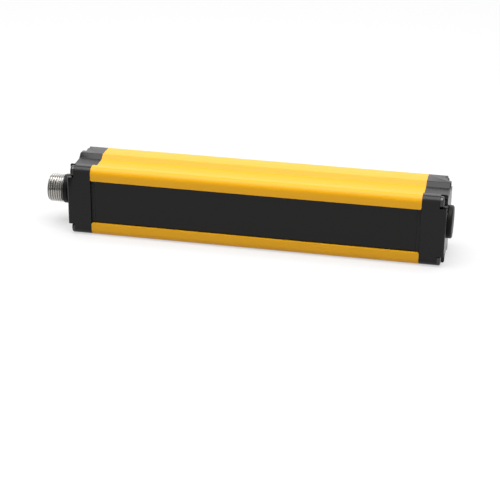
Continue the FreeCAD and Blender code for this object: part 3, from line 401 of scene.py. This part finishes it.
def make_finishes(colours, sizes):
    """Every finish of the bar, each named after its slot in the record."""
    grain = sizes.grain
    coat_finish(tuple(colours.coat))
    moulding_finish("cap_black", tuple(colours.moulding), grain)
    window_finish(tuple(colours.window))
    rubber_finish()
    metal_finish("brass", tuple(colours.brass), 0.2)
    nickel_finish(tuple(colours.nickel), sizes.plug_thread_depth)
    metal_finish("dark_steel", (0.055, 0.054, 0.052), 0.12)
    moulding_finish("plug_black", (0.006, 0.006, 0.006), grain, 0.35, 0.15)
    moulding_finish("carrier_black", (0.015, 0.015, 0.016), grain, 0.55)
    clear_finish("lens_clear", (0.90, 0.92, 0.95), 0.03)
    clear_finish("emitter_clear", (0.75, 0.80, 0.92), 0.06)
    board_finish()
    moulding_finish("package_black", (0.018, 0.018, 0.018), grain, 0.5)
    metal_finish("can_silver", (0.72, 0.72, 0.73), 0.28)
    metal_finish("gold", (0.90, 0.66, 0.28), 0.22)


def finish_for(slot):
    return bpy.data.materials[slot]


# Mesh helpers

def new_object(name, mesh):
    piece = bpy.data.objects.new(name, mesh)
    bpy.context.scene.collection.objects.link(piece)
    return piece


def mesh_of(work, name):
    """The worked faces as a new mesh."""
    mesh = bpy.data.meshes.new(name)
    work.to_mesh(mesh)
    work.free()
    return mesh


def merged_mesh(name, *nodes):
    """Copies of CAD nodes joined into one mesh: doubles merged, flat faces made whole."""
    work = bmesh.new()
    for node in nodes:
        work.from_mesh(frame["nodes"][node].data)
    bmesh.ops.remove_doubles(work, verts=work.verts, dist=MERGE_DISTANCE)
    bmesh.ops.dissolve_limit(work, angle_limit=FLAT_ANGLE, verts=work.verts, edges=work.edges)
    return mesh_of(work, name)


def settled(piece):
    """The piece with its modifiers applied to a plain mesh."""
    bpy.context.view_layer.update()
    shown = piece.evaluated_get(bpy.context.evaluated_depsgraph_get())
    mesh = bpy.data.meshes.new_from_object(shown)
    mesh.name = piece.name
    piece.modifiers.clear()
    piece.data = mesh
    return piece


def smooth(mesh, angle):
    """Smooth shading over edges flatter than the angle, in degrees."""
    mesh.polygons.foreach_set("use_smooth", [True] * len(mesh.polygons))
    mesh.set_sharp_from_angle(angle=math.radians(angle))


def broken_edges(piece, width, angle=38.0, segments=2):
    """Sharp edges get a small round."""
    smooth(piece.data, angle)
    bevel = piece.modifiers.new("edges", "BEVEL")
    bevel.width = width
    bevel.segments = segments
    bevel.limit_method = "ANGLE"
    bevel.angle_limit = math.radians(angle)
    bevel.use_clamp_overlap = True
    bevel.harden_normals = True
    return settled(piece)


def dress(piece, slot, *nodes):
    """Gives the piece its finish and its body, and hides the CAD nodes that it stands for."""
    piece.data.materials.clear()
    piece.data.materials.append(finish_for(slot))
    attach(piece, BODY)
    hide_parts(*nodes)
    return piece


def refined(name, slot, width, *nodes, angle=38.0):
    """A CAD shape with broken edges and smooth rounds."""
    piece = new_object(name, merged_mesh(name, *nodes))
    broken_edges(piece, width, angle)
    return dress(piece, slot, *nodes)


def turned_mesh(name, rings, segments=72, closed=True):
    """A mesh turned about X: each ring is an x and a radius, or a radius for each angle."""
    work = bmesh.new()
    rows = []
    for x, radius in rings:
        row = []
        for i in range(segments):
            angle = 2 * math.pi * i / segments
            r = radius(x, angle) if callable(radius) else radius
            row.append(work.verts.new((x, r * math.cos(angle), r * math.sin(angle))))
        rows.append(row)
    pairs = list(zip(rows, rows[1:]))
    if closed:
        pairs.append((rows[-1], rows[0]))
    for first, second in pairs:
        for i in range(segments):
            j = (i + 1) % segments
            work.faces.new((first[i], first[j], second[j], second[i]))
    if not closed:
        work.faces.new(rows[0])
        work.faces.new(rows[-1])
    bmesh.ops.recalc_face_normals(work, faces=work.faces)
    return mesh_of(work, name)


def ridge_height(x, angle, pitch, root, flank):
    """Height of a thread's ridge at x and angle, from 0 in the root to 1 on the crest."""
    phase = (x / pitch + angle / (2 * math.pi)) % 1.0
    rise = 1.0 - abs(2.0 * phase - 1.0)
    return min(1.0, max(0.0, (rise - root) / flank))


def thread_radius(outer, depth, pitch, mouth, lead):
    """Radius of the plug's thread at x and angle, with a chamfer at its mouth."""
    def radius(x, angle):
        root = 1.0 - ridge_height(x, angle, pitch, SLEEVE_ROOT, SLEEVE_FLANK)
        chamfer = outer - max(0.0, lead - abs(mouth - x))
        return min(outer - depth * root, chamfer)
    return radius


def centre(node):
    low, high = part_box(node)
    return (low + high) / 2


def separate_boxes(node):
    """The box of each loose solid of a CAD node, as (lowest, highest) corners."""
    work = bmesh.new()
    work.from_mesh(frame["nodes"][node].data)
    bmesh.ops.remove_doubles(work, verts=work.verts, dist=MERGE_DISTANCE)
    left_over = set(work.verts)
    boxes = []
    while left_over:
        todo = [left_over.pop()]
        solid = []
        while todo:
            corner = todo.pop()
            solid.append(corner.co.copy())
            for edge in corner.link_edges:
                other = edge.other_vert(corner)
                if other in left_over:
                    left_over.remove(other)
                    todo.append(other)
        boxes.append((Vector([min(c[i] for c in solid) for i in range(3)]),
                      Vector([max(c[i] for c in solid) for i in range(3)])))
    work.free()
    return sorted(boxes, key=lambda box: (round(box[0].y, 5), round(box[0].z, 5)))


def cross_cutter(reach, width, depth):
    """A tapered cross that cuts a driver recess, its mouth at x = 0."""
    work = bmesh.new()
    rings = []
    for x, shrink in ((0.4 * MM, 1.1), (-depth, 0.55)):
        far, near = reach * shrink, width * (shrink + 1.0) / 2
        outline = []
        for turn in range(4):
            angle = math.pi / 2 * turn
            for y, z in ((far, -near), (far, near), (near, near)):
                outline.append((y * math.cos(angle) - z * math.sin(angle),
                                y * math.sin(angle) + z * math.cos(angle)))
        rings.append([work.verts.new((x, y, z)) for y, z in outline])
    mouth, floor = rings
    work.faces.new(mouth)
    work.faces.new(floor)
    for i in range(len(mouth)):
        j = (i + 1) % len(mouth)
        work.faces.new((mouth[i], mouth[j], floor[j], floor[i]))
    bmesh.ops.recalc_face_normals(work, faces=work.faces)
    return mesh_of(work, "cross_cutter")


def pan_head_screw(name, radius, length, sizes):
    """A pan-head screw along X, its crown at x = 0 and its shank towards -X."""
    head, shank, steps = sizes.head_height, sizes.shank_radius, 6
    dome, dome_drop, crown = 0.72, 0.13 * MM, 0.25 * MM
    edge, point = 0.1 * MM, 0.4 * MM
    rings = [(0.0, 0.02 * MM)]
    for i in range(1, steps + 1):
        reach = i / steps * dome
        rings.append((-crown * reach ** 2, radius * reach))
    for i in range(1, steps + 1):
        angle = math.pi / 2 * i / steps
        rings.append((-dome_drop - (head * 0.55 - dome_drop) * (1 - math.cos(angle)),
                      radius * (dome + (1 - dome) * math.sin(angle))))
    rings += [(-head + edge, radius), (-head, radius - edge), (-head, shank),
              (-length + point, shank), (-length, shank - point)]
    screw = new_object(name, turned_mesh(name, rings, 40, closed=False))
    cutter = new_object("cutter", cross_cutter(sizes.recess_reach, sizes.recess_width,
                                               sizes.recess_depth))
    cut = screw.modifiers.new("recess", "BOOLEAN")
    cut.operation = "DIFFERENCE"
    cut.solver = "EXACT"
    cut.object = cutter
    settled(screw)
    bpy.data.objects.remove(cutter)
    smooth(screw.data, 40.0)
    return screw


def threaded_insert(name, radius, length, sizes):
    """A brass insert along X, its mouth at x = 0, with a threaded bore and a knurl groove."""
    bore, pitch, depth = sizes.insert_bore, sizes.insert_pitch, sizes.insert_thread_depth
    groove, lead, edge = 0.35 * MM, 0.35 * MM, 0.08 * MM

    def inner(x, angle):
        ridge = ridge_height(x, angle, pitch, INSERT_ROOT, INSERT_FLANK)
        return bore - depth * ridge + max(0.0, lead + x)
    rows = int(length / pitch * 8)
    rings = [(-edge, radius), (0.0, radius - edge)]
    rings += [(-length * i / rows, inner) for i in range(rows + 1)]
    rings += [(-length, radius), (-length * 0.6, radius), (-length * 0.6, radius - groove),
              (-length * 0.4, radius - groove), (-length * 0.4, radius)]
    insert = new_object(name, turned_mesh(name, rings, 48))
    smooth(insert.data, 45.0)
    return insert


def threaded_sleeve(sizes):
    """The plug's nickel sleeve: outer thread, chamfered mouth, bore and spigot."""
    low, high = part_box("plug_sleeve")
    axis = centre("plug_sleeve")
    outer, bore, spigot = (high.y - low.y) / 2, sizes.sleeve_bore, sizes.sleeve_spigot
    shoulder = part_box("plug_body")[0].x
    mouth, lead, depth = low.x, 0.5 * MM, sizes.plug_thread_depth
    start, chamfer = shoulder - 0.45 * MM, 0.25 * MM
    wall = thread_radius(outer, depth, sizes.plug_pitch, mouth, lead)
    rows = int(abs(mouth - start) / sizes.plug_pitch * 12)
    rings = [(shoulder, outer - depth), (start, outer - depth)]
    rings += [(start + (mouth - start) * i / rows, wall) for i in range(1, rows + 1)]
    rings += [(mouth, bore + chamfer), (mouth + chamfer, bore), (high.x, bore),
              (high.x, spigot), (shoulder, spigot)]
    mesh = turned_mesh("plug_thread", rings, 96)
    mesh.transform(Matrix.Translation((0.0, axis.y, axis.z)))
    return mesh


def set_in_places(name, slot, master, places, outwards):
    """Copies of the master at these places, made by Geometry Nodes and joined into one mesh."""
    points = bpy.data.meshes.new(name)
    points.from_pydata(places, [], [])
    piece = new_object(name, points)
    tree = bpy.data.node_groups.new(f"{name}_layout", "GeometryNodeTree")
    interface = tree.interface
    interface.new_socket("Geometry", in_out="INPUT", socket_type="NodeSocketGeometry")
    piece_socket = interface.new_socket("Piece", in_out="INPUT", socket_type="NodeSocketObject")
    turn_socket = interface.new_socket("Turn", in_out="INPUT", socket_type="NodeSocketFloat")
    spin_socket = interface.new_socket("Spin", in_out="INPUT", socket_type="NodeSocketFloat")
    seed_socket = interface.new_socket("Seed", in_out="INPUT", socket_type="NodeSocketInt")
    finish_socket = interface.new_socket("Finish", in_out="INPUT",
                                         socket_type="NodeSocketMaterial")
    interface.new_socket("Geometry", in_out="OUTPUT", socket_type="NodeSocketGeometry")
    given = tree.nodes.new("NodeGroupInput")
    result = tree.nodes.new("NodeGroupOutput")
    info = tree.nodes.new("GeometryNodeObjectInfo")
    spin = tree.nodes.new("FunctionNodeRandomValue")
    spin.data_type = "FLOAT"
    angles = tree.nodes.new("ShaderNodeCombineXYZ")
    copies = tree.nodes.new("GeometryNodeInstanceOnPoints")
    real = tree.nodes.new("GeometryNodeRealizeInstances")
    finish = tree.nodes.new("GeometryNodeSetMaterial")
    link = tree.links.new
    link(given.outputs["Geometry"], copies.inputs["Points"])
    link(given.outputs["Piece"], info.inputs["Object"])
    link(info.outputs["Geometry"], copies.inputs["Instance"])
    link(given.outputs["Spin"], spin.inputs[3])
    link(given.outputs["Seed"], spin.inputs["Seed"])
    link(spin.outputs[1], angles.inputs["X"])
    link(given.outputs["Turn"], angles.inputs["Z"])
    link(angles.outputs[0], copies.inputs["Rotation"])
    link(copies.outputs[0], real.inputs[0])
    link(real.outputs[0], finish.inputs["Geometry"])
    link(given.outputs["Finish"], finish.inputs["Material"])
    link(finish.outputs[0], result.inputs[0])
    layout = piece.modifiers.new("layout", "NODES")
    layout.node_group = tree
    layout[piece_socket.identifier] = master
    layout[turn_socket.identifier] = 0.0 if outwards > 0 else math.pi
    layout[spin_socket.identifier] = 2 * math.pi
    layout[seed_socket.identifier] = 7
    layout[finish_socket.identifier] = finish_for(slot)
    settled(piece)
    bpy.data.objects.remove(master)
    return piece


# Pieces

class CURTAIN_OT_finishes(bpy.types.Operator):
    """Make the finishes and put one on every part of the frame"""

    bl_idname = "curtain.finishes"
    bl_label = "Finishes"

    def execute(self, context):
        scene = context.scene
        for plain in list(bpy.data.materials):
            bpy.data.materials.remove(plain)
        make_finishes(scene.curtain_colours, scene.curtain_sizes)
        for part in frame["record"]["subparts"]:
            shape = frame["nodes"][part["node"]].data
            shape.materials.clear()
            shape.materials.append(finish_for(part["material_slot"]))
        return {"FINISHED"}


class CURTAIN_OT_housing(bpy.types.Operator):
    """Build the extruded housing with broken edges"""

    bl_idname = "curtain.housing"
    bl_label = "Housing"

    def execute(self, context):
        sizes = context.scene.curtain_sizes
        refined("housing_skin", "yellow_coat", sizes.housing_edge, "housing_profile")
        return {"FINISHED"}


class CURTAIN_OT_window(bpy.types.Operator):
    """Build the dark window and the rubber blocks at its ends"""

    bl_idname = "curtain.window"
    bl_label = "Window"

    def execute(self, context):
        sizes = context.scene.curtain_sizes
        refined("window_pane", "window_dark", sizes.window_edge, "front_window")
        for side in ("left", "right"):
            refined(f"{side}_window_block", "black_rubber", sizes.window_edge, f"window_end_{side}")
        return {"FINISHED"}


class CURTAIN_OT_end_caps(bpy.types.Operator):
    """Build the two moulded end caps"""

    bl_idname = "curtain.end_caps"
    bl_label = "End Caps"

    def execute(self, context):
        sizes = context.scene.curtain_sizes
        for side in ("left", "right"):
            refined(f"{side}_cap_shell", "cap_black", sizes.cap_edge, f"{side}_end_cap", angle=42.0)
        return {"FINISHED"}


class CURTAIN_OT_cap_screws(bpy.types.Operator):
    """Build one pan-head screw and set it in the four corners of each cap"""

    bl_idname = "curtain.cap_screws"
    bl_label = "Cap Screws"

    def execute(self, context):
        sizes = context.scene.curtain_sizes
        for side, outwards in (("left", -1), ("right", 1)):
            node = f"{side}_cap_screws"
            solids = separate_boxes(node)
            low, high = solids[0]
            screw = pan_head_screw("screw_master", (high.y - low.y) / 2, high.x - low.x, sizes)
            places = [Vector((high.x if outwards > 0 else low.x, (low.y + high.y) / 2,
                              (low.z + high.z) / 2)) for low, high in solids]
            slot = "dark_steel"
            dress(set_in_places(f"{side}_screws", slot, screw, places, outwards), slot, node)
        return {"FINISHED"}


class CURTAIN_OT_inserts(bpy.types.Operator):
    """Build one threaded brass insert and set it in the four seats"""

    bl_idname = "curtain.inserts"
    bl_label = "Brass Inserts"

    def execute(self, context):
        sizes = context.scene.curtain_sizes
        for side, outwards in (("left", -1), ("right", 1)):
            nodes = [f"{side}_rear_insert", f"{side}_front_insert"]
            low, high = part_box(nodes[0])
            insert = threaded_insert("insert_master", (high.y - low.y) / 2, high.x - low.x, sizes)
            places = []
            for node in nodes:
                low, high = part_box(node)
                places.append(Vector((high.x if outwards > 0 else low.x,
                                      (low.y + high.y) / 2, (low.z + high.z) / 2)))
            slot = "brass"
            dress(set_in_places(f"{side}_inserts", slot, insert, places, outwards), slot, *nodes)
        return {"FINISHED"}


class CURTAIN_OT_plug(bpy.types.Operator):
    """Build the plug's stub and threaded sleeve, and the blanking plug of the far cap"""

    bl_idname = "curtain.plug"
    bl_label = "Plug"

    def execute(self, context):
        sizes = context.scene.curtain_sizes
        refined("plug_stub", "plug_black", sizes.cap_edge * 0.8, "plug_body")
        refined("blank_head", "plug_black", sizes.cap_edge * 0.8, "blanking_plug")
        refined("plug_insulator", "plug_black", sizes.cap_edge * 0.4, "pin_block")
        refined("plug_pins", "gold", sizes.cap_edge * 0.2, "contact_pins")
        sleeve = new_object("plug_thread", threaded_sleeve(sizes))
        smooth(sleeve.data, 50.0)
        dress(sleeve, "nickel", "plug_sleeve")
        return {"FINISHED"}


class CURTAIN_OT_stage(bpy.types.Operator):
    """Set the floor, the lights, the white surroundings and the camera"""

    bl_idname = "curtain.stage"
    bl_label = "Stage"

    def execute(self, context):
        colours = context.scene.curtain_colours
        make_floor(colours)
        make_world(colours)
        make_lights(colours)
        make_dark_card()
        make_camera(context.scene)
        context.scene.view_settings.view_transform = "Standard"
        return {"FINISHED"}


def seen_directly(tree):
    """1 for what the camera, a mirror or glass sees, and 0 for light that falls on the bar."""
    path = tree.nodes.new("ShaderNodeLightPath")
    camera = Wire(tree, path.outputs["Is Camera Ray"])
    glossy = Wire(tree, path.outputs["Is Glossy Ray"])
    clear = Wire(tree, path.outputs["Is Transmission Ray"])
    return camera.largest(glossy).largest(clear)


def make_floor(colours):
    """A pale floor that looks white and keeps the bar's soft shadow."""
    material = bpy.data.materials.new("pale_floor")
    material.use_nodes = True
    tree = material.node_tree
    tree.nodes.clear()
    end = tree.nodes.new("ShaderNodeOutputMaterial")
    bounce = tree.nodes.new("ShaderNodeBsdfDiffuse")
    bounce.inputs["Color"].default_value = (*colours.floor, 1.0)
    shadow = tree.nodes.new("ShaderNodeBsdfDiffuse")
    shadow.inputs["Color"].default_value = (FLOOR_SHADE, FLOOR_SHADE, FLOOR_SHADE, 1.0)
    glow = tree.nodes.new("ShaderNodeEmission")
    glow.inputs["Strength"].default_value = FLOOR_GLOW
    near = tree.nodes.new("ShaderNodeAddShader")
    tree.links.new(shadow.outputs[0], near.inputs[0])
    tree.links.new(glow.outputs[0], near.inputs[1])
    spot = Wire(tree, tree.nodes.new("ShaderNodeTexCoord").outputs["Object"])
    away = ((vector_length(tree, spot) - FLOOR_SPOT) / FLOOR_FADE).within_one()
    seen = mixed_shaders(tree, away, near, tree.nodes.new("ShaderNodeEmission"))
    look = mixed_shaders(tree, seen_directly(tree), bounce, seen)
    tree.links.new(look.outputs[0], end.inputs["Surface"])
    work = bmesh.new()
    bmesh.ops.create_grid(work, x_segments=1, y_segments=1, size=FLOOR_HALF)
    mesh = mesh_of(work, "floor")
    mesh.materials.append(material)
    new_object("floor", mesh)


def make_dark_card():
    """A bent black card before the plug, which only its polished thread shows."""
    axis = centre("plug_sleeve")
    radius, steps, lowest, highest = 40 * MM, 16, -6.0, 90.0
    ends = (axis.x - 50 * MM, axis.x - 3 * MM)
    work = bmesh.new()
    rows = []
    for i in range(steps + 1):
        angle = math.radians(lowest + (highest - lowest) * i / steps)
        y, z = axis.y - radius * math.cos(angle), axis.z + radius * math.sin(angle)
        rows.append([work.verts.new((x, y, z)) for x in ends])
    for first, second in zip(rows, rows[1:]):
        work.faces.new((first[0], first[1], second[1], second[0]))
    mesh = mesh_of(work, "dark_card")
    card = new_object("dark_card", mesh)
    mesh.materials.append(Finish("card_black", Base_Color=(0.01, 0.01, 0.01),
                                 Roughness=1.0, Specular_IOR_Level=0.0).material)
    card.visible_camera = False
    card.visible_diffuse = False
    card.visible_shadow = False
    card.visible_transmission = False


def make_world(colours):
    """White all round: plain white to the eye, and an even light on the bar."""
    world = bpy.data.worlds.new("white_room")
    bpy.context.scene.world = world
    world.use_nodes = True
    tree = world.node_tree
    tree.nodes.clear()
    end = tree.nodes.new("ShaderNodeOutputWorld")
    lit = tree.nodes.new("ShaderNodeBackground")
    lit.inputs["Color"].default_value = WHITE
    lit.inputs["Strength"].default_value = colours.ambient
    seen = tree.nodes.new("ShaderNodeBackground")
    seen.inputs["Color"].default_value = WHITE
    look = mixed_shaders(tree, seen_directly(tree), lit, seen)
    tree.links.new(look.outputs[0], end.inputs["Surface"])


def add_softbox(name, place, target, width, height, power):
    """An area light at a place, facing a target."""
    light = bpy.data.lights.new(name, "AREA")
    light.shape = "RECTANGLE"
    light.size = width
    light.size_y = height
    light.energy = power
    box = new_object(name, light)
    direction = Vector(target) - Vector(place)
    box.matrix_world = (Matrix.Translation(place)
                        @ direction.to_track_quat("-Z", "Y").to_matrix().to_4x4())


def make_lights(colours):
    middle = (0.0, 0.0, 0.015)
    add_softbox("key_softbox", (0.0, -0.07, 0.85), middle, 1.1, 0.75, colours.key_power)
    add_softbox("rear_softbox", (0.1, 1.2, 0.66), middle, 2.6, 1.1, colours.rear_power)
    add_softbox("fill_softbox", (0.5, -0.9, 0.5), middle, 0.6, 0.6, colours.fill_power)


def make_camera(scene):
    """Long lens, from the right and above."""
    level = Vector((CAMERA_VIEW.y, -CAMERA_VIEW.x, 0.0)).normalized()
    upright = level.cross(CAMERA_VIEW)
    cosine, sine = math.cos(CAMERA_ROLL), math.sin(CAMERA_ROLL)
    right = level * cosine - upright * sine
    up = level * sine + upright * cosine
    lens = bpy.data.cameras.new("camera")
    lens.lens = CAMERA_LENS
    lens.sensor_width = 36.0
    lens.clip_start = 0.01
    lens.clip_end = 50.0
    camera = new_object("camera", lens)
    turn = Matrix((right, up, -CAMERA_VIEW)).transposed().to_4x4()
    camera.matrix_world = Matrix.Translation(CAMERA_PLACE) @ turn
    scene.camera = camera


STEPS = [
    CURTAIN_OT_finishes,
    CURTAIN_OT_housing,
    CURTAIN_OT_window,
    CURTAIN_OT_end_caps,
    CURTAIN_OT_cap_screws,
    CURTAIN_OT_inserts,
    CURTAIN_OT_plug,
    CURTAIN_OT_stage,
]


class CURTAIN_PT_panel(bpy.types.Panel):
    """Lists the steps, sizes and colours of the bar"""

    bl_idname = "CURTAIN_PT_panel"
    bl_label = "Light Curtain"
    bl_space_type = "VIEW_3D"
    bl_region_type = "UI"
    bl_category = "Light Curtain"

    def draw(self, context):
        layout = self.layout
        for step in STEPS:
            layout.operator(step.bl_idname)
        for group in (context.scene.curtain_sizes, context.scene.curtain_colours):
            box = layout.box()
            for name in group.bl_rna.properties.keys():
                if name not in ("rna_type", "name"):
                    box.prop(group, name)


CLASSES = [CURTAIN_PG_sizes, CURTAIN_PG_colours, *STEPS, CURTAIN_PT_panel]


def register():
    for item in CLASSES:
        bpy.utils.register_class(item)
    bpy.types.Scene.curtain_sizes = bpy.props.PointerProperty(type=CURTAIN_PG_sizes)
    bpy.types.Scene.curtain_colours = bpy.props.PointerProperty(type=CURTAIN_PG_colours)


def unregister():
    del bpy.types.Scene.curtain_colours
    del bpy.types.Scene.curtain_sizes
    for item in reversed(CLASSES):
        bpy.utils.unregister_class(item)


def main():
    register()
    for step in STEPS:
        group, name = step.bl_idname.split(".")
        getattr(getattr(bpy.ops, group), name)()


if __name__ == "__main__":
    main()
